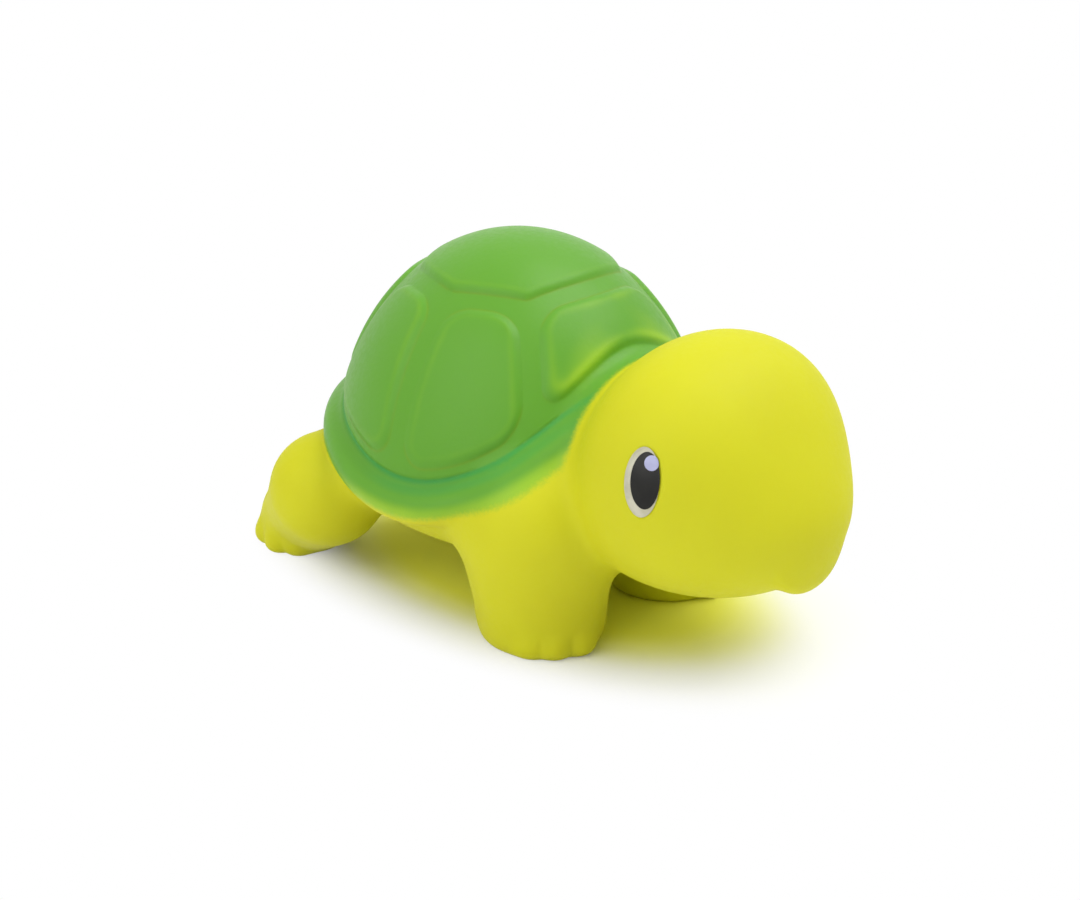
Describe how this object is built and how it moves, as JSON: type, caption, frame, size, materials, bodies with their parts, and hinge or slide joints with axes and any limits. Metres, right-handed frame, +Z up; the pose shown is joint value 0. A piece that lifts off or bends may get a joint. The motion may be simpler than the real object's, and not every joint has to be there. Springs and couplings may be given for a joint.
{
  "type": "squeaky bath toy",
  "caption": "Soft hollow turtle bath toy with a domed, plated shell, printed eyes, flat-soled feet and a reed squeaker pressed into its belly.",
  "frame": {"origin": "middle of the overall box at the floor under the feet", "axes": "+X forward along the toy towards the head, +Y to the toy's left, +Z up"},
  "size_m": [0.1154, 0.068, 0.0639],
  "materials": {
    "soft_vinyl": "satin soft vinyl, yellow, with the shell sprayed green and fading at the front of the rim",
    "white_print": "thin satin print, off-white",
    "black_print": "thin satin print, black",
    "lavender_print": "thin satin print, pale lavender",
    "squeaker_plastic": "moulded polyethylene, natural white, satin",
    "reed_film": "cut polyester strip, smooth"
  },
  "bodies": {
    "toy": {"body_skin": "soft_vinyl", "eye_whites": "white_print", "eye_pupils": "black_print", "eye_glints": "lavender_print", "squeaker_housing": "squeaker_plastic", "reed_block": "squeaker_plastic", "reed_wedge": "squeaker_plastic"},
    "reed_blade": {"reed": "reed_film"}
  },
  "joints": [
    {"name": "reed_flex", "type": "hinge", "parent": "toy", "child": "reed_blade", "pos_m": [-0.01227, 0, 0.0115], "axis": [0, 1, 0], "range_deg": [-3.5, 3.5], "stiffness_Nm_per_rad": 0.015}
  ]
}
